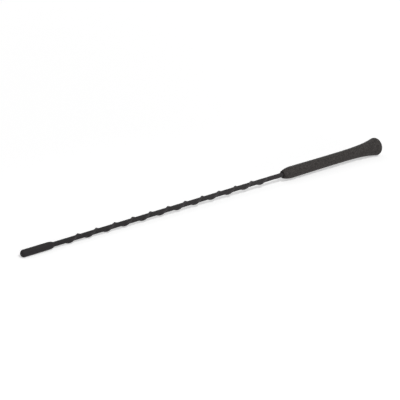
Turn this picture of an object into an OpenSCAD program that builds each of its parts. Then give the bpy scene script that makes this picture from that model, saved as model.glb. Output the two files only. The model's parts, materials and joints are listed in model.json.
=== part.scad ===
/* [Mast] */
// Length of the whole aerial, from the foot's face to the end of the tip cap
mast_len = 410; // [400:5:460]
// Diameter of the glass fibre rod
core_d = 2.8; // [2.4:0.1:3.2]

/* [Radiator] */
// Diameter of the copper wire
wire_d = 0.25; // [0.2:0.05:0.4]
// Distance between the turns of the wide winding
wire_pitch = 21; // [18:1:40]
// Length of the close wound stretch at the foot end
coil_len = 15; // [8:1:24]
// Distance from the end of the sleeve to the tip end of the wire
wire_short = 3; // [1:0.5:5]

/* [Spiral rib] */
// Diameter of the cord under the sleeve, which sets the height of the rib
cord_d = 0.9; // [0.7:0.1:1.3]
// Distance between the turns of the rib
rib_pitch = 19.25; // [16:0.05:26]
// Distance from the grip to the foot end of the rib
rib_to_grip = 21.5; // [10:0.5:30]
// Distance from the tip end of the rib to the cap
rib_to_cap = 13.5; // [8:0.5:60]
// Angle of the rib's foot end about the rod, from the top towards the back
rib_clock = 314; // [0:1:359]
// Length over which the sleeve slopes down past each end of the cord
rib_runout = 2.4; // [1.5:0.1:4]

/* [Sleeve] */
// Wall of the shrunk sleeve
sleeve_wall = 0.25; // [0.2:0.05:0.4]
// Depth of the sleeve in the tip cap
sleeve_in_cap = 12; // [6:1:14]

/* [Tip cap] */
// Outer diameter of the cap
cap_d = 6.5; // [6.2:0.1:8]
// Length of the cap
cap_len = 31.5; // [29:0.5:36]
// Rounding of the cap's end
cap_round = 2.8; // [1.5:0.1:3]
// Length of the rounded shoulder at the cap's open end
cap_shoulder = 4.5; // [3:0.5:6]
// Width of the lip round the cap's open end
cap_lip = 0.4; // [0.3:0.1:0.6]
// Length of the solid plastic past the rod
cap_solid = 8; // [5:0.5:10]

/* [Grip] */
// Length of the grip
grip_len = 123; // [110:0.5:130]
// Diameter of the grip at its shoulder
shoulder_d = 10; // [9:0.1:11.5]
// Length over which the shoulder curves in to the front
shoulder_len = 10.4; // [7:0.1:14]
// Diameter of the front
front_d = 7.2; // [6.6:0.1:8]
// Rounding of the front's edge
front_round = 0.6; // [0.3:0.1:0.9]
// Width of the ring shaped gap between the rod and the front
front_gap = 0.4; // [0.3:0.1:0.6]
// Depth of that gap
front_gap_depth = 1.6; // [1:0.1:3]
// Diameter of the waist
waist_d = 9.6; // [9:0.1:10.6]
// Place of the waist, from the foot's face
waist_at = 70.5; // [60:0.5:85]

/* [Foot] */
// Largest diameter of the flared foot
foot_d = 17; // [16.6:0.1:20]
// Rounding of the rim
rim_round = 3.2; // [2:0.1:3.4]
// Slope of the flare where it meets the rim
flare_angle = 12; // [8:0.5:14]
// Diameter of the recess round the stud
recess_d = 8.8; // [8.6:0.1:9.4]
// Depth of the recess
recess_depth = 8.5; // [7:0.5:10]
// Chamfer at the mouth of the recess
mouth_chamfer = 0.3; // [0.2:0.1:0.5]

/* [Ferrule] */
// Diameter of the turned ferrule
ferrule_d = 7.4; // [7:0.1:7.8]
// Length of the ferrule
ferrule_len = 34; // [31:1:44]
// Diameter of the collar that closes the floor of the recess
collar_d = 8.2; // [8:0.1:8.4]
// Thickness of that collar
collar_len = 2; // [1.5:0.1:3]
// Diameter of the neck crimped on the rod
neck_d = 5.4; // [5:0.1:6.4]
// Length of the neck
neck_len = 8; // [6:0.5:9]
// Depth of the rod in the ferrule
core_in_ferrule = 16; // [10:1:18]
// Number of grooves that key the ferrule in the grip
key_count = 3; // [1:1:3]
// Distance between the grooves
key_pitch = 7; // [5:0.5:8]
// Width of a groove
key_width = 2; // [1.5:0.1:3]
// Depth of a groove
key_depth = 0.4; // [0.3:0.1:0.6]
// Chamfer at the edges of the ferrule
ferrule_chamfer = 0.3; // [0.2:0.1:0.5]

/* [Stud] */
// Outer diameter of the stud's thread
stud_d = 5; // [4:1:6]
// Free length of the stud, from the floor of the recess
stud_free = 8; // [6:0.5:9]
// Depth of the stud in the ferrule
stud_seat = 9; // [7:0.5:10]
// Chamfer at the ends of the stud
stud_chamfer = 0.6; // [0.4:0.1:0.8]
// Diameter of the relief groove at the floor of the recess
relief_d = 3.8; // [3.4:0.1:3.8]
// Length of the relief groove
relief_len = 0.8; // [0.5:0.1:1.2]
// Width across the flats of the key socket in the end
socket_width = 2.5; // [1.5:0.5:2.5]
// Depth of the key socket
socket_depth = 2.5; // [1.5:0.5:3]

/* [Fits] */
// Gap on the radius between pieces that are pushed, wound or moulded together
fit_gap = 0.03; // [0.02:0.01:0.05]
// Gap at the bottom of a blind hole
end_gap = 0.5; // [0.3:0.1:1]

/* [Hidden] */
$fn = 96;

// Each piece is modelled standing up, with the foot's face at zero and the tip at mast_len, and is
// then laid down.

// Parts of a curve, from a wide rounding down to the edge of the grip's front
rim_parts = 14;
bend_parts = 8;
edge_parts = 5;
flare_parts = 16;

// How far a cut reaches past the face that it opens
past = 1;

// Radii from the rod outwards. A wound piece has flat steps, and its inner corners stand out by this
// factor, so that its flats clear what it is wound on.
steps_per_turn = 12;
wire_sides = 4;
cord_sides = 6;
step_rise = 1 / cos(180 / steps_per_turn);
core_r = core_d / 2;
wire_r = wire_d / 2;
wire_at = core_r * step_rise + fit_gap + wire_r;
wound_r = wire_at + wire_r;
cord_r = cord_d / 2;
cord_at = wound_r * step_rise + fit_gap + cord_r;
bore_r = wound_r * step_rise + fit_gap;
sleeve_r = bore_r + sleeve_wall;

// Radii of the turned and moulded pieces
cap_r = cap_d / 2;
shoulder_r = shoulder_d / 2;
front_r = front_d / 2;
waist_r = waist_d / 2;
foot_r = foot_d / 2;
recess_r = recess_d / 2;
ferrule_r = ferrule_d / 2;
collar_r = collar_d / 2;
neck_r = neck_d / 2;
stud_r = stud_d / 2;
relief_r = relief_d / 2;

// Heights along the mast
ferrule_end = recess_depth + ferrule_len;
neck_start = ferrule_end - neck_len;
core_start = ferrule_end - core_in_ferrule;
coil_end = ferrule_end + coil_len;
cap_start = mast_len - cap_len;
sleeve_end = cap_start + sleeve_in_cap;
core_end = mast_len - cap_solid - end_gap;
wire_end = sleeve_end - wire_short;
rib_start = grip_len + rib_to_grip;
rib_end = cap_start - rib_to_cap;

// The aerial lies on the rim of its foot and the edge of its cap. The angle is that of the line
// under the two roundings.
rim_seat_r = foot_r - rim_round;
tip_seat_r = cap_r - cap_round;
rest_span = mast_len - rim_round - cap_round;
rest_drop = rim_seat_r - tip_seat_r;
rest_angle = atan2(rest_drop, rest_span) + asin((rim_round - cap_round) / norm([rest_span, rest_drop]));
tip_reach = (mast_len - cap_round) * cos(rest_angle) + tip_seat_r * sin(rest_angle) + cap_round;
rim_reach = rim_seat_r * sin(rest_angle) + rim_round * (1 - cos(rest_angle));
stud_reach = (stud_free - recess_depth) * cos(rest_angle) + stud_r * sin(rest_angle);
foot_x = (tip_reach - max(rim_reach, stud_reach)) / 2;
foot_z = rim_round * (1 + sin(rest_angle)) + rim_seat_r * cos(rest_angle);

// Points of an arc about a centre, from one angle to another
function arc(centre, r, from, to, parts) =
    [for (i = [0:parts]) let (a = from + (to - from) * i / parts) centre + r * [cos(a), sin(a)]];

// Lays a standing piece down as it rests, tip to the left and foot to the right
module lay() {
    translate([foot_x, 0, foot_z]) rotate([0, -90 - rest_angle, 0]) children();
}

// Turns an outline of radius and height round the mast's axis
module turn(outline) {
    rotate_extrude() polygon(outline);
}

// Faces of a skin round rings of points. The diagonals run the way that a left-handed winding slopes.
function ring_faces(rings, size, first = 0, outward = true) =
    [for (i = [0:rings - 2], k = [0:size - 1])
        let (low = first + i * size, a = low + k, b = low + (k + 1) % size, c = b + size, d = a + size)
        each outward ? [[a, d, c], [a, c, b]] : [[a, c, d], [a, b, c]]];

// A solid strand through its rings, with flat ends
module wound_bar(rings) {
    size = len(rings[0]);
    count = len(rings);
    low_end = [for (k = [0:size - 1]) k];
    high_end = [for (k = [0:size - 1]) count * size - 1 - k];
    polyhedron([for (ring = rings) each ring], concat(ring_faces(count, size), [low_end, high_end]));
}

// A tube between outer and inner rings, with flat ends
module wound_tube(outer, inner) {
    size = len(outer[0]);
    count = len(outer);
    low_out = 0;
    high_out = (count - 1) * size;
    low_in = count * size;
    high_in = low_in + high_out;
    low_end = [for (k = [0:size - 1])
        [low_out + k, low_out + (k + 1) % size, low_in + (k + 1) % size, low_in + k]];
    high_end = [for (k = [0:size - 1])
        [high_out + k, high_in + k, high_in + (k + 1) % size, high_out + (k + 1) % size]];
    polyhedron(
        [for (ring = concat(outer, inner)) each ring],
        concat(ring_faces(count, size), ring_faces(count, size, low_in, false), low_end, high_end)
    );
}

// One section of a round strand that winds up the mast, square to its own run
function strand_ring(at, r, pitch, angle, height, sides) =
    let (rise = pitch / norm([2 * PI * at, pitch]), lean = sqrt(1 - rise * rise))
    [for (k = [0:sides - 1])
        let (out = at + r * cos(360 * k / sides), across = r * sin(360 * k / sides))
        [out * cos(angle) - across * rise * sin(angle), out * sin(angle) + across * rise * cos(angle),
         height + across * lean]];

function strand_rings(at, r, pitch, start, end, clock, sides) =
    let (steps = ceil((end - start) / pitch * steps_per_turn), rise = (end - start) / steps)
    [for (i = [0:steps]) strand_ring(at, r, pitch, clock - 360 * i * rise / pitch, start + i * rise, sides)];

// Outline of the sleeve, drawn tight over the rod and the cord: an arc over the crest, an arc round
// the rod and two straight flanks between them. The cord leans, so its cut is wider than the cord.
cord_lean = norm([2 * PI * cord_at, rib_pitch]) / rib_pitch;
crest_r = (cord_r + fit_gap) * cord_lean * cord_lean;
crest_at = cord_at + cord_r + fit_gap - crest_r;
flank_angle = acos((bore_r - crest_r) / crest_at);
crest_parts = 5;
crest_rise = 1 / cos(flank_angle / crest_parts);
rod_parts = 8;
outline_size = crest_parts + rod_parts + 2;

function tight_outline(wall) = concat(
    arc([crest_at, 0], crest_r * crest_rise + wall, -flank_angle, flank_angle, crest_parts),
    arc([0, 0], bore_r + wall, flank_angle, 360 - flank_angle, rod_parts)
);

// One ring of the sleeve, ribbed, or round where the cord doesn't reach
function sleeve_ring(wall, ribbed, angle, height) =
    [for (k = [0:outline_size - 1])
        let (p = tight_outline(wall)[k],
             r = ribbed ? norm(p) : bore_r + wall,
             a = angle + (ribbed ? atan2(p.y, p.x) : (k - crest_parts / 2) * 360 / outline_size))
        [r * cos(a), r * sin(a), height]];

// The sleeve is ribbed a little past the leaning ends of the cord, and then slopes down to the rod
rib_steps = ceil((rib_end - rib_start) / rib_pitch * steps_per_turn);
rib_over = cord_r * sqrt(1 - 1 / (cord_lean * cord_lean));
rib_low = rib_start - rib_over;
rib_high = rib_end + rib_over;
rib_heights = [rib_low, for (i = [0:rib_steps]) rib_start + (rib_end - rib_start) * i / rib_steps, rib_high];

function rib_angle(height) = rib_clock - 360 * (height - rib_start) / rib_pitch;

function sleeve_rings(wall) = [
    sleeve_ring(wall, false, rib_angle(rib_low), ferrule_end),
    sleeve_ring(wall, false, rib_angle(rib_low), rib_low - rib_runout),
    for (height = rib_heights) sleeve_ring(wall, true, rib_angle(height), height),
    sleeve_ring(wall, false, rib_angle(rib_high), rib_high + rib_runout),
    sleeve_ring(wall, false, rib_angle(rib_high), sleeve_end)
];

// Outline of the ferrule, which the grip is moulded round with a gap
key_first = (recess_depth + collar_len + neck_start - (key_count - 1) * key_pitch - key_width) / 2;

function ferrule_outline(gap) = concat(
    [[0, recess_depth], [collar_r + gap - ferrule_chamfer, recess_depth],
     [collar_r + gap, recess_depth + ferrule_chamfer], [collar_r + gap, recess_depth + collar_len],
     [ferrule_r + gap, recess_depth + collar_len]],
    [for (i = [0:key_count - 1])
        let (low = key_first + i * key_pitch)
        each [[ferrule_r + gap, low], [ferrule_r + gap - key_depth, low],
              [ferrule_r + gap - key_depth, low + key_width], [ferrule_r + gap, low + key_width]]],
    [[ferrule_r + gap, neck_start], [neck_r + gap, neck_start],
     [neck_r + gap, ferrule_end - ferrule_chamfer], [neck_r + gap - ferrule_chamfer, ferrule_end],
     [0, ferrule_end]]
);

module core_rod() {
    color("ivory") lay() translate([0, 0, core_start]) cylinder(h = core_end - core_start, r = core_r);
}

module radiator_wire() {
    // The close wound turns lie side by side, as one tube, and the last one runs on up the rod
    color("peru") lay() {
        translate([0, 0, ferrule_end]) difference() {
            cylinder(h = coil_len, r = wound_r);
            translate([0, 0, -past]) cylinder(h = coil_len + 2 * past, r = core_r + fit_gap);
        }
        wound_bar(strand_rings(wire_at, wire_r, wire_pitch, coil_end - wire_d, wire_end, 0, wire_sides));
    }
}

module rib_cord() {
    color("whitesmoke") lay()
        wound_bar(strand_rings(cord_at, cord_r, rib_pitch, rib_start, rib_end, rib_clock, cord_sides));
}

module ribbed_sleeve() {
    color("dimgray") lay() wound_tube(sleeve_rings(sleeve_wall), sleeve_rings(0));
}

module tip_cap() {
    drop = cap_r - sleeve_r - fit_gap - cap_lip;
    bend = 2 * atan(drop / cap_shoulder);
    bend_r = cap_shoulder / sin(bend);
    color("dimgray") lay() difference() {
        turn(concat(
            [[0, cap_start]],
            arc([cap_r - bend_r, cap_start + cap_shoulder], bend_r, -bend, 0, bend_parts),
            arc([tip_seat_r, mast_len - cap_round], cap_round, 0, 90, rim_parts),
            [[0, mast_len]]
        ));
        translate([0, 0, cap_start - past])
            cylinder(h = sleeve_in_cap + end_gap + past, r = sleeve_r + fit_gap);
        translate([0, 0, cap_start]) cylinder(h = cap_len - cap_solid, r = core_r + fit_gap);
    }
}

module grip() {
    // The rim rounds over into the flare, the flare falls by a power to the waist, and the shoulder
    // rounds in to the front
    rim_top = [rim_seat_r, rim_round] + rim_round * [cos(flare_angle), sin(flare_angle)];
    flare_len = waist_at - rim_top.y;
    flare_out = rim_top.x - waist_r;
    flare_power = tan(flare_angle) * flare_len / flare_out;
    bend = 2 * atan((shoulder_r - front_r) / shoulder_len);
    bend_r = shoulder_len / sin(bend);
    bend_top = grip_len - front_round * (1 - sin(bend));
    front_centre = [front_r, bend_top] - front_round * [cos(bend), sin(bend)];
    color("dimgray") lay() difference() {
        turn(concat(
            [[0, 0]],
            arc([rim_seat_r, rim_round], rim_round, -90, flare_angle, rim_parts),
            [for (i = [1:flare_parts])
                [waist_r + flare_out * pow(1 - i / flare_parts, flare_power),
                 rim_top.y + flare_len * i / flare_parts]],
            arc([shoulder_r - bend_r, bend_top - shoulder_len], bend_r, 0, bend, bend_parts),
            arc(front_centre, front_round, bend, 90, edge_parts),
            [[0, grip_len]]
        ));
        translate([0, 0, -past]) cylinder(h = recess_depth + past, r = recess_r);
        translate([0, 0, -past])
            cylinder(h = mouth_chamfer + past, r1 = recess_r + mouth_chamfer + past, r2 = recess_r);
        turn(ferrule_outline(fit_gap));
        translate([0, 0, ferrule_end - past]) cylinder(h = grip_len, r = sleeve_r + fit_gap);
        translate([0, 0, grip_len - front_gap_depth])
            cylinder(h = front_gap_depth + past, r = sleeve_r + front_gap);
    }
}

module rod_ferrule() {
    color("goldenrod") lay() difference() {
        turn(ferrule_outline(0));
        translate([0, 0, recess_depth - past])
            cylinder(h = stud_seat + end_gap + past, r = stud_r + fit_gap);
        translate([0, 0, core_start - end_gap])
            cylinder(h = core_in_ferrule + end_gap + past, r = core_r + fit_gap);
    }
}

module threaded_stud() {
    low = recess_depth - stud_free;
    high = recess_depth + stud_seat;
    color("silver") lay() difference() {
        turn([
            [0, low], [stud_r - stud_chamfer, low], [stud_r, low + stud_chamfer],
            [stud_r, recess_depth - relief_len], [relief_r, recess_depth - relief_len],
            [relief_r, recess_depth], [stud_r, recess_depth], [stud_r, high - stud_chamfer],
            [stud_r - stud_chamfer, high], [0, high]
        ]);
        translate([0, 0, low - past])
            cylinder(h = socket_depth + past, d = socket_width / cos(30), $fn = 6);
    }
}

core_rod();
radiator_wire();
rib_cord();
ribbed_sleeve();
tip_cap();
grip();
rod_ferrule();
threaded_stud();
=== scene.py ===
import json
import math

import bpy
from mathutils import Matrix, Vector


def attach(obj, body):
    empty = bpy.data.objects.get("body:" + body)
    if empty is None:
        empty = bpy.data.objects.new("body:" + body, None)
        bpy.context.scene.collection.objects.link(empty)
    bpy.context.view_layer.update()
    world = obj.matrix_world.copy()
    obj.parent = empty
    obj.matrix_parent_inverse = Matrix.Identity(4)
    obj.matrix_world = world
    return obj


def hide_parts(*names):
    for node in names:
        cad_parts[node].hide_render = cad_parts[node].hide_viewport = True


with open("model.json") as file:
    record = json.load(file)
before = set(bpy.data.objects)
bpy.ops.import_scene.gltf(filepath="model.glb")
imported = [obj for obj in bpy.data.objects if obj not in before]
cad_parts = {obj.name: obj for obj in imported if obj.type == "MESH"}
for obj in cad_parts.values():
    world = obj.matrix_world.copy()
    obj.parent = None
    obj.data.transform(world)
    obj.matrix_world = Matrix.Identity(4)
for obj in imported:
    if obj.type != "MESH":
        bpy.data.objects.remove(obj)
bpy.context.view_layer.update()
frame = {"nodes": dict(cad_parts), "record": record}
print("frame loaded")


# Every piece is worked out standing up, in millimetres, with the foot's face at zero and the tip at the
# top. layDown then turns it on its side, in metres, as the aerial lies.
millimetre = 0.001
mast = {
    "length": 410,
    "fitGap": 0.03,        # on the radius, between pieces that are pushed or moulded together
    "mountDepth": 4.4,     # from the foot's face to the middle of the stud's mount
}
studMount = next(m for m in frame["record"]["mounts"] if m["name"] == "stud")
outward = Vector(studMount["axis"]).normalized()
footCentre = Vector(studMount["pos_m"]) + outward * mast["mountDepth"] * millimetre
layTurn = -math.pi / 2 - math.atan2(outward.z, outward.x)
layDown = Matrix.Translation(footCentre) @ Matrix.Rotation(layTurn, 4, "Y") @ Matrix.Scale(millimetre, 4)


# Outlines and skins

def arcPoints(centre, radius, start, end, parts):
    angles = [math.radians(start + (end - start) * i / parts) for i in range(parts + 1)]
    return [(centre[0] + radius * math.cos(a), centre[1] + radius * math.sin(a)) for a in angles]


def softCorner(before, corner, after, radius, parts=4):     # a corner as a small tangent curve
    a, b, c = Vector(before), Vector(corner), Vector(after)
    start = b + (a - b).normalized() * radius
    end = b + (c - b).normalized() * radius
    curve = []
    for i in range(parts + 1):
        t = i / parts
        p = start * (1 - t) ** 2 + b * 2 * t * (1 - t) + end * t ** 2
        curve.append((p.x, p.y))
    return curve


def skinRings(rings, closed=False):
    size = len(rings[0])
    points = [point for ring in rings for point in ring]
    faces = []
    for i in range(len(rings) if closed else len(rings) - 1):
        low = i * size
        high = (i + 1) % len(rings) * size
        for k in range(size):
            m = (k + 1) % size
            faces.append((low + k, low + m, high + m, high + k))
    return points, faces


def turnOutline(outline, sides, closed=False):    # an outline that is open starts and ends on the axis
    walls = outline if closed else outline[1:-1]
    turn = 2 * math.pi / sides
    rings = [[(r * math.cos(turn * k), r * math.sin(turn * k), z) for k in range(sides)] for r, z in walls]
    points, faces = skinRings(rings, closed)
    if not closed:
        first = len(points)
        points += [(0, 0, outline[0][1]), (0, 0, outline[-1][1])]
        top = (len(rings) - 1) * sides
        for k in range(sides):
            m = (k + 1) % sides
            faces.append((first, m, k))
            faces.append((top + k, top + m, first + 1))
    return points, faces


def makePiece(name, skin, finish, node, sharpAngle=40):
    points, faces = skin
    mesh = bpy.data.meshes.new(name)
    mesh.from_pydata([layDown @ Vector(p) for p in points], [], faces)
    mesh.polygons.foreach_set("use_smooth", [True] * len(faces))
    mesh.set_sharp_from_angle(angle=math.radians(sharpAngle))
    mesh.materials.append(finish)
    piece = bpy.data.objects.new(name, mesh)
    bpy.context.scene.collection.objects.link(piece)
    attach(piece, "root")
    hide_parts(node)
    print(name, "has", len(faces), "faces")


# Materials

class Signal:               # a socket that can be used in sums, each of which adds a Math node
    def __init__(self, nodes, socket):
        self.nodes = nodes
        self.socket = socket

    def maths(self, operation, other):
        return self.nodes.add("ShaderNodeMath", {"operation": operation}, {0: self, 1: other})

    def __add__(self, other):
        return self.maths("ADD", other)

    def __mul__(self, other):
        return self.maths("MULTIPLY", other)

    __radd__ = __add__
    __rmul__ = __mul__


class Nodes:                # the nodes of a material or of the sky
    def __init__(self, owner):
        owner.use_nodes = True
        self.tree = owner.node_tree

    def add(self, kind, settings, inputs, output=0):
        node = self.tree.nodes.new(kind)
        for key, value in settings.items():
            if key == "stops":
                setStops(node.color_ramp, value)
            else:
                setattr(node, key, value)
        for key, value in inputs.items():
            self.feed(node.inputs[key], value)
        return Signal(self, node.outputs[output])

    def feed(self, socket, value):
        if isinstance(value, Signal):
            self.tree.links.new(value.socket, socket)
        else:
            socket.default_value = value

    def times(self, a, b):              # of vectors or colours
        return self.add("ShaderNodeVectorMath", {"operation": "MULTIPLY"}, {0: a, 1: b})

    def length(self, vector):
        return self.add("ShaderNodeVectorMath", {"operation": "LENGTH"}, {0: vector}, "Value")

    def between(self, value, start, end, low=0, high=1, course="LINEAR"):   # low at the start, then high
        limits = {"Value": value, "From Min": start, "From Max": end, "To Min": low, "To Max": high}
        return self.add("ShaderNodeMapRange", {"interpolation_type": course}, limits)

    def mixColours(self, amount, a, b):
        result = 2                      # the Mix node's colours are its sockets 6 and 7, and come out at 2
        return self.add("ShaderNodeMix", {"data_type": "RGBA"}, {"Factor": amount, 6: a, 7: b}, result)

    def tint(self, amount, colour, low, high):      # the colour at a low level or a high one
        return self.mixColours(amount, shade(colour, low), shade(colour, high))

    def seenRays(self):                 # 1 for what the camera, a reflection or a clear piece shows
        seen = self.add("ShaderNodeLightPath", {}, {}, "Is Camera Ray")
        for ray in ("Is Glossy Ray", "Is Transmission Ray"):
            seen = seen.maths("MAXIMUM", self.add("ShaderNodeLightPath", {}, {}, ray))
        return seen


class Finish(Nodes):        # a material, with its shader's plain values set by name
    def __init__(self, name, **plain):
        self.material = bpy.data.materials.new(name)
        super().__init__(self.material)
        self.shader = self.tree.nodes["Principled BSDF"]
        self.put(**plain)

    def put(self, **values):            # values or signals for the shader's own sockets
        for socket, value in values.items():
            self.feed(self.shader.inputs[socket.replace("_", " ")], value)

    def here(self):
        return self.add("ShaderNodeTexCoord", {}, {}, "Object")

    def place(self):        # where a point is on the standing mast, in millimetres
        turn = {"Vector": self.here(), "Location": footCentre, "Rotation": (0, layTurn, 0)}
        turn["Scale"] = (millimetre, millimetre, millimetre)
        return self.add("ShaderNodeMapping", {"vector_type": "TEXTURE"}, turn)

    def noise(self, place, size, detail=2, roughness=0.5):      # size of the grain in millimetres
        values = {"Vector": place, "Scale": 1 / size, "Detail": detail, "Roughness": roughness}
        return self.add("ShaderNodeTexNoise", {}, values)

    def uneven(self, middle, *parts):       # a middle value that each noise moves up or down
        total = middle - sum(spread for noise, spread in parts) / 2
        for noise, spread in parts:
            total = noise * spread + total
        return total

    def bump(self, height, depth, under=None):      # depth in millimetres
        values = {"Height": height, "Distance": depth * millimetre, "Strength": 1}
        if under:
            values["Normal"] = under
        return self.add("ShaderNodeBump", {}, values)


def setStops(ramp, stops):
    while len(ramp.elements) > 1:
        ramp.elements.remove(ramp.elements[-1])
    for i, (position, colour) in enumerate(stops):
        stop = ramp.elements[0] if i == 0 else ramp.elements.new(position)
        stop.position = position
        stop.color = colour


white = (1, 1, 1)


def shade(colour, level=1.0):
    return (colour[0] * level, colour[1] * level, colour[2] * level, 1)


gripLook = {
    "colour": (0.047, 0.0427, 0.0408),
    "roughness": 0.6, "specular": 0.12,
    "grain": 0.45, "grainDepth": 0.03, "grainRoughness": 0.1,      # the eroded grain
    "mottle": 1.3, "mottleShare": 0.6,                   # paler and darker flecks, together with the grain
    "fleckDark": (0.36, 0.5), "fleckPale": (0.64, 1.5),  # where on the noise, and the colour's level there
    "cloud": 7, "cloudLevels": (0.82, 1.18), "cloudRoughness": 0.16,
    "swell": 12, "swellStretch": 0.3, "swellDepth": 0.05,      # slow unevenness of the moulding
}


def gripFinish():
    look = gripLook
    finish = Finish("gripRubber", Specular_IOR_Level=look["specular"])
    place = finish.place()
    grain = finish.noise(place, look["grain"], detail=3, roughness=0.6)
    cloud = finish.noise(place, look["cloud"], detail=3, roughness=0.55)
    swell = finish.noise(finish.times(place, (1, 1, look["swellStretch"])), look["swell"], detail=1)
    mottle = finish.noise(place, look["mottle"])
    flecks = grain * (1 - look["mottleShare"]) + mottle * look["mottleShare"]
    stops = [(position, shade(white, level)) for position, level in (look["fleckDark"], look["fleckPale"])]
    levels = finish.add("ShaderNodeValToRGB", {"stops": stops}, {"Fac": flecks})
    finish.put(Base_Color=finish.times(finish.tint(cloud, look["colour"], *look["cloudLevels"]), levels))
    parts = (cloud, look["cloudRoughness"]), (grain, look["grainRoughness"])
    finish.put(Roughness=finish.uneven(look["roughness"], *parts))
    low = finish.bump(swell, look["swellDepth"])
    finish.put(Normal=finish.bump(grain, look["grainDepth"], low))
    return finish.material


sleeveLook = {
    "colour": (0.0315, 0.0292, 0.0302),
    "roughness": 0.5, "specular": 0.12,
    "crestFrom": 2.15, "crestFull": 2.75,      # from the axis; the rib's crest is rubbed paler and carries a painted highlight
    # the crest's level is part wear and part painted highlight; the rest's level is painted shade between the
    # ribs
    "crestWearAndHighlightLevel": 1.45, "restShadeLevel": 0.92,
    "paleFrom": 370, "paleFull": 130,    # up the mast; paler towards the grip
    "tipLevel": 0.78, "gripEndLevel": 1.36,
    "streak": 0.25, "streakStretch": 0.06,     # the drawn lines
    "streakDepth": 0.012, "streakShare": 0.2, "streakRoughness": 0.1,
    "peel": 0.9, "peelDepth": 0.03, "peelShare": 0.5,      # the uneven skin left by the heat
    "cloud": 4, "cloudStretch": 0.4, "cloudShare": 0.3, "cloudRoughness": 0.14,
    "toneLevels": (0.3, 1.7),
}


def sleeveFinish():
    look = sleeveLook
    finish = Finish("shrunkSleeve", Specular_IOR_Level=look["specular"])
    place = finish.place()
    streak = finish.noise(finish.times(place, (1, 1, look["streakStretch"])), look["streak"])
    peel = finish.noise(place, look["peel"])
    cloud = finish.noise(finish.times(place, (1, 1, look["cloudStretch"])), look["cloud"])
    tone = cloud * look["cloudShare"] + streak * look["streakShare"] + peel * look["peelShare"]
    colour = finish.tint(tone, look["colour"], *look["toneLevels"])
    # painted highlight on the rib's crest, besides its rubbed wear, and painted shade between the ribs
    fromAxis = finish.length(finish.times(place, (1, 1, 0)))
    crest = finish.between(fromAxis, look["crestFrom"], look["crestFull"], course="SMOOTHSTEP")
    crestWearAndShade = finish.tint(crest, white, look["restShadeLevel"], look["crestWearAndHighlightLevel"])
    # the sleeve's colour grows paler towards the grip
    along = finish.add("ShaderNodeSeparateXYZ", {}, {0: place}, "Z")
    towardsGrip = finish.between(along, look["paleFrom"], look["paleFull"])
    gripwardPaling = finish.tint(towardsGrip, white, look["tipLevel"], look["gripEndLevel"])
    finish.put(Base_Color=finish.times(finish.times(colour, crestWearAndShade), gripwardPaling))
    parts = (cloud, look["cloudRoughness"]), (streak, look["streakRoughness"])
    finish.put(Roughness=finish.uneven(look["roughness"], *parts))
    low = finish.bump(peel, look["peelDepth"])
    finish.put(Normal=finish.bump(streak, look["streakDepth"], low))
    return finish.material


capLook = {
    "colour": (0.024, 0.0215, 0.0226),
    "roughness": 0.52, "specular": 0.12,
    "grain": 0.35, "grainDepth": 0.018,
    "cloud": 3, "cloudLevels": (0.85, 1.15), "cloudRoughness": 0.12,
}


def capFinish():
    look = capLook
    finish = Finish("capPlastic", Specular_IOR_Level=look["specular"])
    place = finish.place()
    grain = finish.noise(place, look["grain"], detail=3, roughness=0.55)
    cloud = finish.noise(place, look["cloud"])
    finish.put(Base_Color=finish.tint(cloud, look["colour"], *look["cloudLevels"]))
    finish.put(Roughness=finish.uneven(look["roughness"], (cloud, look["cloudRoughness"])))
    finish.put(Normal=finish.bump(grain, look["grainDepth"]))
    return finish.material


metalLook = {
    "lineStretch": 0.05, "lineRoughness": 0.12,
    "cloud": 1.6, "cloudLevels": (0.86, 1.06), "cloudRoughness": 0.16,
}


def metalFinish(name, colour, roughness, lineSize, lineDepth):     # turned metal, with lines round the axis
    look = metalLook
    finish = Finish(name, Metallic=1)
    place = finish.place()
    lines = finish.noise(finish.times(place, (look["lineStretch"], look["lineStretch"], 1)), lineSize)
    cloud = finish.noise(place, look["cloud"])
    finish.put(Base_Color=finish.tint(cloud, colour, *look["cloudLevels"]))
    parts = (cloud, look["cloudRoughness"]), (lines, look["lineRoughness"])
    finish.put(Roughness=finish.uneven(roughness, *parts))
    finish.put(Normal=finish.bump(lines, lineDepth))
    return finish.material


fibreLook = {"stretch": 0.03, "levels": (0.78, 1.12), "strandRoughness": 0.2}


def fibreFinish(name, colour, roughness, strandSize, strandDepth):    # strands that run along the mast
    look = fibreLook
    finish = Finish(name)
    along = finish.times(finish.place(), (1, 1, look["stretch"]))
    strands = finish.noise(along, strandSize, detail=3, roughness=0.6)
    finish.put(Base_Color=finish.tint(strands, colour, *look["levels"]))
    finish.put(Roughness=finish.uneven(roughness, (strands, look["strandRoughness"])))
    finish.put(Normal=finish.bump(strands, strandDepth))
    return finish.material


# The grip, one moulding with its shoulder, waist and foot, open for the ferrule, the rod and the stud
grip = {
    "length": 123,
    "shoulderR": 5.45, "shoulderLength": 10.4,
    "frontR": 3.6, "frontRound": 0.6,
    "frontGap": 0.4, "frontGapDepth": 1.6,
    "waistR": 5.22, "waistAt": 70.5,
    "footR": 8.5, "rimRound": 3.2, "flareAngle": 12,
    "recessR": 4.4, "recessDepth": 8.5, "mouthChamfer": 0.3,
    "softEdge": 0.1,
    "sides": 144, "rimParts": 28, "flareParts": 64, "shoulderParts": 24, "frontParts": 10,
}
ferrule = {
    "radius": 3.7, "length": 34,
    "collarR": 4.1, "collarLength": 2,
    "neckR": 2.7, "neckLength": 8,
    "keyCount": 3, "keyPitch": 7, "keyWidth": 2, "keyDepth": 0.4,
    "chamfer": 0.3,
}
sleeve = {
    "boreR": 1.8204, "wall": 0.25,
    "cordR": 0.45, "cordAt": 2.2704,        # the cord's own radius, and that of its winding
    "ribPitch": 19.25, "ribStart": 144.5, "ribEnd": 365, "ribClock": 314, "runout": 2.4,
    "inCap": 12,
    "stationsPerTurn": 40, "crestParts": 14, "flankParts": 4, "rodParts": 28, "runoutParts": 10,
}
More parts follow.
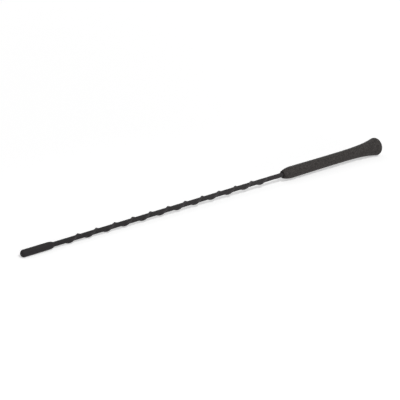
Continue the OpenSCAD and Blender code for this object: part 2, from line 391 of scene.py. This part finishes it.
cap = {
    "radius": 3.25, "length": 31.5,
    "endRound": 2.8, "shoulder": 4.5, "lip": 0.4,
    "rodDepth": 23.5, "rodR": 1.43, "endGap": 0.5,
    "softEdge": 0.05, "softLip": 0.12,
    "lipTo": 3,              # which point of the shoulder the lip runs to
    "sides": 128, "shoulderParts": 24, "endParts": 24,
}
sleeveR = sleeve["boreR"] + sleeve["wall"]
ferruleEnd = grip["recessDepth"] + ferrule["length"]
capStart = mast["length"] - cap["length"]


def ferruleSeat():          # the grip's inner wall round the ferrule, from the front down to the recess
    gap = mast["fitGap"]
    low = grip["recessDepth"]
    neckStart = ferruleEnd - ferrule["neckLength"]
    keysLength = (ferrule["keyCount"] - 1) * ferrule["keyPitch"] + ferrule["keyWidth"]
    keyFirst = (low + ferrule["collarLength"] + neckStart - keysLength) / 2
    bodyR, neckR, collarR = ferrule["radius"] + gap, ferrule["neckR"] + gap, ferrule["collarR"] + gap
    seat = [(neckR - ferrule["chamfer"], ferruleEnd), (neckR, ferruleEnd - ferrule["chamfer"])]
    seat += [(neckR, neckStart), (bodyR, neckStart)]
    for i in reversed(range(ferrule["keyCount"])):
        keyLow = keyFirst + i * ferrule["keyPitch"]
        keyHigh = keyLow + ferrule["keyWidth"]
        keyR = bodyR - ferrule["keyDepth"]
        seat += [(bodyR, keyHigh), (keyR, keyHigh), (keyR, keyLow), (bodyR, keyLow)]
    seat += [(bodyR, low + ferrule["collarLength"]), (collarR, low + ferrule["collarLength"])]
    return seat + [(collarR, low + ferrule["chamfer"]), (collarR - ferrule["chamfer"], low)]


def gripOutline():
    g = grip
    rimSeatR = g["footR"] - g["rimRound"]
    rim = arcPoints((rimSeatR, g["rimRound"]), g["rimRound"], -90, g["flareAngle"], g["rimParts"])
    rimTopR, rimTop = rim[-1]
    flareLength = g["waistAt"] - rimTop
    flareOut = rimTopR - g["waistR"]
    power = math.tan(math.radians(g["flareAngle"])) * flareLength / flareOut
    flare = []
    for i in range(1, g["flareParts"] + 1):
        t = i / g["flareParts"]
        flare.append((g["waistR"] + flareOut * (1 - t) ** power, rimTop + flareLength * t))
    bend = 2 * math.atan((g["shoulderR"] - g["frontR"]) / g["shoulderLength"])
    bendR = g["shoulderLength"] / math.sin(bend)
    bendTop = g["length"] - g["frontRound"] * (1 - math.sin(bend))
    bendDegrees = math.degrees(bend)
    shoulderCentre = (g["shoulderR"] - bendR, bendTop - g["shoulderLength"])
    shoulder = arcPoints(shoulderCentre, bendR, 0, bendDegrees, g["shoulderParts"])
    frontCentre = (g["frontR"] - g["frontRound"] * math.cos(bend), bendTop - g["frontRound"] * math.sin(bend))
    front = arcPoints(frontCentre, g["frontRound"], bendDegrees, 90, g["frontParts"])
    gapR = sleeveR + g["frontGap"]
    gapFloor = g["length"] - g["frontGapDepth"]
    mouth = softCorner(front[-1], (gapR, g["length"]), (gapR, gapFloor), g["softEdge"])
    boreR = sleeveR + mast["fitGap"]
    inside = [(gapR, gapFloor), (boreR, gapFloor), (boreR, ferruleEnd)] + ferruleSeat()
    inside.append((g["recessR"], g["recessDepth"]))
    wallEnd = (g["recessR"], g["mouthChamfer"])
    chamferEnd = (g["recessR"] + g["mouthChamfer"], 0)
    recess = softCorner(inside[-1], wallEnd, chamferEnd, g["softEdge"])
    recess += softCorner(wallEnd, chamferEnd, rim[0], g["softEdge"])
    return rim + flare + shoulder + front + mouth + inside + recess


gripSkin = turnOutline(gripOutline(), grip["sides"], closed=True)
makePiece("grip_moulding", gripSkin, gripFinish(), "grip")


# The sleeve, drawn tight over the rod and the cord: an arc over the crest, straight flanks and an arc
# round the rod. Each ring is turned a little from the last one, left-handed.

def cordLean():             # how much longer a turn of the cord is than the rod that it covers
    return math.hypot(2 * math.pi * sleeve["cordAt"], sleeve["ribPitch"]) / sleeve["ribPitch"]


def tightOutline(wall):
    lean = cordLean()
    crestR = (sleeve["cordR"] + mast["fitGap"]) * lean ** 2
    crestAt = sleeve["cordAt"] + sleeve["cordR"] + mast["fitGap"] - crestR
    flank = math.degrees(math.acos((sleeve["boreR"] - crestR) / crestAt))
    crest = arcPoints((crestAt, 0), crestR + wall, -flank, flank, sleeve["crestParts"])
    overRod = arcPoints((0, 0), sleeve["boreR"] + wall, flank, 360 - flank, sleeve["rodParts"])
    outline = []
    for start, end in ((crest, overRod), (overRod, crest)):
        outline += start[:-1]
        for i in range(sleeve["flankParts"]):
            outline.append(tuple(Vector(start[-1]).lerp(Vector(end[0]), i / sleeve["flankParts"])))
    return [(math.hypot(x, y), math.atan2(y, x)) for x, y in outline]


def easeBetween(low, high, value):
    t = min(max((value - low) / (high - low), 0), 1)
    return t * t * (3 - 2 * t)


def sleeveHeights(ribLow, ribHigh):
    runout = [sleeve["runout"] * i / sleeve["runoutParts"] for i in range(1, sleeve["runoutParts"] + 1)]
    steps = math.ceil((ribHigh - ribLow) / sleeve["ribPitch"] * sleeve["stationsPerTurn"])
    heights = [ferruleEnd, grip["length"] - grip["frontGapDepth"], grip["length"]]
    heights += [ribLow - r for r in reversed(runout)]
    heights += [ribLow + (ribHigh - ribLow) * i / steps for i in range(steps + 1)]
    return heights + [ribHigh + r for r in runout] + [capStart, capStart + sleeve["inCap"]]


def sleeveRings(wall):
    over = sleeve["cordR"] * math.sqrt(1 - 1 / cordLean() ** 2)     # how far the cord's leaning ends reach
    ribLow, ribHigh = sleeve["ribStart"] - over, sleeve["ribEnd"] + over
    plainR = sleeve["boreR"] + wall
    outline = tightOutline(wall)
    rings = []
    for height in sleeveHeights(ribLow, ribHigh):
        held = min(max(height, ribLow), ribHigh)
        turned = math.radians(sleeve["ribClock"] - 360 * (held - sleeve["ribStart"]) / sleeve["ribPitch"])
        full = easeBetween(ribLow - sleeve["runout"], ribLow, height)
        full *= 1 - easeBetween(ribHigh, ribHigh + sleeve["runout"], height)
        ring = []
        for r, a in outline:
            out = plainR + (r - plainR) * full
            ring.append((out * math.cos(a + turned), out * math.sin(a + turned), height))
        rings.append(ring)
    return rings


sleeveSkin = skinRings(sleeveRings(sleeve["wall"]) + sleeveRings(0)[::-1], closed=True)
makePiece("ribbed_skin", sleeveSkin, sleeveFinish(), "ribbed_sleeve")


# The cap on the tip, hollow for the sleeve and the rod
def capOutline():
    c = cap
    holeR = sleeveR + mast["fitGap"]
    holeEnd = capStart + sleeve["inCap"] + c["endGap"]
    rodEnd = capStart + c["rodDepth"]
    hole = [(0, rodEnd), (c["rodR"], rodEnd), (c["rodR"], holeEnd), (holeR, holeEnd)]
    bend = 2 * math.atan((c["radius"] - holeR - c["lip"]) / c["shoulder"])
    bendR = c["shoulder"] / math.sin(bend)
    centre = (c["radius"] - bendR, capStart + c["shoulder"])
    shoulder = arcPoints(centre, bendR, -math.degrees(bend), 0, c["shoulderParts"])
    holeEdge = (holeR, capStart)
    lipEdge = (holeR + c["lip"], capStart)
    lip = softCorner(hole[-1], holeEdge, lipEdge, c["softEdge"])
    lip += softCorner(holeEdge, lipEdge, shoulder[c["lipTo"]], c["softLip"])
    endCentre = (c["radius"] - c["endRound"], mast["length"] - c["endRound"])
    end = arcPoints(endCentre, c["endRound"], 0, 90, c["endParts"])
    return hole + lip + shoulder[1:] + end + [(0, mast["length"])]


capSkin = turnOutline(capOutline(), cap["sides"])
makePiece("tip_cap_moulding", capSkin, capFinish(), "tip_cap")


# The stud in the foot, with its thread, relief groove and key socket
stud = {
    "radius": 2.5, "threadPitch": 0.8, "threadDepth": 0.45,
    "rootTo": 0.04, "crestFrom": 0.88,         # shares of the way up a thread's flank
    "freeLength": 8, "seatLength": 9,
    "chamfer": 0.6, "reliefR": 1.9, "reliefLength": 0.8,
    "socketWidth": 2.5, "socketDepth": 2.5, "socketCone": 0.5, "socketChamfer": 0.1,
    "pointShare": 0.02, "endR": 0.02,          # the small faces that close the cone and the inner end
    "sides": 72, "stationsPerPitch": 16,
}


def threadRadius(height, turn):      # a 60 degree thread with a flat crest and a rounded root
    phase = (height / stud["threadPitch"] - turn) % 1
    rise = abs(phase * 2 - 1)                      # 1 at the crest, 0 at the root
    return stud["radius"] - stud["threadDepth"] * (1 - easeBetween(stud["rootTo"], stud["crestFrom"], rise))


def studRings():
    s = stud
    low = grip["recessDepth"] - s["freeLength"]
    high = grip["recessDepth"] + s["seatLength"]
    reliefLow = grip["recessDepth"] - s["reliefLength"]
    turn = 2 * math.pi / s["sides"]
    step = s["threadPitch"] / s["stationsPerPitch"]
    flats = []                                     # the hexagon of the socket
    for k in range(s["sides"]):
        flats.append(s["socketWidth"] / 2 / math.cos(turn * k % (math.pi / 3) - math.pi / 6))

    def ring(radii, height):
        return [(r * math.cos(turn * k), r * math.sin(turn * k), height) for k, r in enumerate(radii)]

    rings = [ring([r * s["pointShare"] for r in flats], low + s["socketDepth"] + s["socketCone"])]
    rings += [ring(flats, low + s["socketDepth"]), ring(flats, low + s["socketChamfer"])]
    rings.append(ring([r + s["socketChamfer"] for r in flats], low))
    steps = round((high - low) / step)
    for i in range(steps + 1):
        height = low + (high - low) * i / steps
        ends = s["radius"] - s["chamfer"] + min(height - low, high - height)
        groove = reliefLow < height < grip["recessDepth"]
        limit = s["reliefR"] if groove else max(s["reliefR"], ends)
        thread = [threadRadius(height, k / s["sides"]) for k in range(s["sides"])]
        rings.append(ring([min(r, limit) for r in thread], height))
    rings.append(ring([s["endR"]] * s["sides"], high))
    return rings


def capEnds(skin, size):         # closes the first and the last ring with a face each
    points, faces = skin
    count = len(points)
    faces.append(tuple(reversed(range(size))))
    faces.append(tuple(range(count - size, count)))
    return points, faces


studLook = {"colour": (0.62, 0.61, 0.58), "roughness": 0.32, "lineSize": 0.12, "lineDepth": 0.004}
platedSteel = metalFinish("platedSteel", **studLook)
studSkin = capEnds(skinRings(studRings()), stud["sides"])
makePiece("stud_with_thread", studSkin, platedSteel, "threaded_stud", sharpAngle=50)


# The inner pieces keep their solids and get their own finishes
brassLook = {"colour": (0.78, 0.57, 0.26), "roughness": 0.3, "lineSize": 0.16, "lineDepth": 0.006}
copperLook = {"colour": (0.8, 0.4, 0.22), "roughness": 0.3, "lineSize": 0.25, "lineDepth": 0.01}
glassLook = {"colour": (0.72, 0.69, 0.52), "roughness": 0.35, "strandSize": 0.2, "strandDepth": 0.01}
cordLook = {"colour": (0.7, 0.7, 0.66), "roughness": 0.55, "strandSize": 0.15, "strandDepth": 0.02}
innerFinishes = {
    "rod_ferrule": metalFinish("turnedBrass", **brassLook),
    "core_rod": fibreFinish("glassFibre", **glassLook),
    "radiator_wire": metalFinish("copperWire", **copperLook),
    "rib_cord": fibreFinish("ribCord", **cordLook),
}
for node, finish in innerFinishes.items():
    for innerSlot in frame["nodes"][node].material_slots:
        innerSlot.material = finish
print("inner pieces finished")


# Floor, light and camera
stage = {
    "floorSize": 14,
    "floorColour": 0.9,
    "lift": 0.455, "farLift": 0.75,    # what the camera sees added to the floor, near the aerial and far off
    "nearEdge": 0.22, "farEdge": 2.4,  # how far from the middle the one gives way to the other
    "skyLevel": 0.25,                  # of its light; the camera sees it white
}
lamps = {
    "key_light": {"at": (-0.15, -2.106, 2.795), "size": 0.8, "level": 54},
    "low_light": {"at": (-0.15, -3.466, 0.487), "size": 0.8, "level": 18},
    "fill_light": {"at": (-0.15, 2.681, 2.25), "size": 1.2, "level": 3.5},
}
camera = {
    "elevation": 20.15, "azimuth": 40.15,     # of the line of sight, below level and from +Y towards +X
    "distance": 1.4975,
    "aim": (-0.00625, 0.01133, 0),
    "sensor": 36, "lens": 152.45,
    "roll": 0.107,
    "nearest": 0.05, "farthest": 50,
}


def makeFloor():
    half = stage["floorSize"] / 2
    mesh = bpy.data.meshes.new("floor")
    corners = [(-half, -half, 0), (half, -half, 0), (half, half, 0), (-half, half, 0)]
    mesh.from_pydata(corners, [], [(0, 1, 2, 3)])
    floor = bpy.data.objects.new("floor", mesh)
    bpy.context.scene.collection.objects.link(floor)
    paint = Finish("paleFloor", Roughness=1, Specular_IOR_Level=0, Emission_Strength=1)
    paint.put(Base_Color=shade(white, stage["floorColour"]))
    away = paint.length(paint.here())
    lift = paint.between(away, stage["nearEdge"], stage["farEdge"], stage["lift"], stage["farLift"])
    paint.put(Emission_Color=lift * paint.seenRays())
    mesh.materials.append(paint.material)


def makeSky():
    sky = bpy.data.worlds.new("studio")
    nodes = Nodes(sky)
    level = nodes.tint(nodes.seenRays(), white, stage["skyLevel"], 1)
    nodes.feed(nodes.tree.nodes["Background"].inputs["Color"], level)
    bpy.context.scene.world = sky


def makeLamp(name, at, size, level):
    light = bpy.data.lights.new(name, "AREA")
    light.shape = "DISK"
    light.size = size
    light.energy = level
    lamp = bpy.data.objects.new(name, light)
    lamp.location = at
    lamp.rotation_mode = "QUATERNION"
    lamp.rotation_quaternion = (-Vector(at)).to_track_quat("-Z", "Y")
    bpy.context.scene.collection.objects.link(lamp)


def makeCamera():
    data = bpy.data.cameras.new("camera")
    data.sensor_width = camera["sensor"]
    data.lens = camera["lens"]
    data.clip_start = camera["nearest"]
    data.clip_end = camera["farthest"]
    view = bpy.data.objects.new("camera", data)
    rise, turn = math.radians(camera["elevation"]), math.radians(camera["azimuth"])
    sight = Vector((math.sin(turn) * math.cos(rise), math.cos(turn) * math.cos(rise), -math.sin(rise)))
    view.location = Vector(camera["aim"]) - sight * camera["distance"]
    view.rotation_mode = "QUATERNION"
    level = sight.to_track_quat("-Z", "Y")
    roll = Matrix.Rotation(math.radians(camera["roll"]), 3, "Z").to_quaternion()
    view.rotation_quaternion = level @ roll
    bpy.context.scene.collection.objects.link(view)
    bpy.context.scene.camera = view


makeFloor()
makeSky()
for name, lamp in lamps.items():
    makeLamp(name, **lamp)
makeCamera()
bpy.context.scene.view_settings.view_transform = "Standard"
print("stage set")
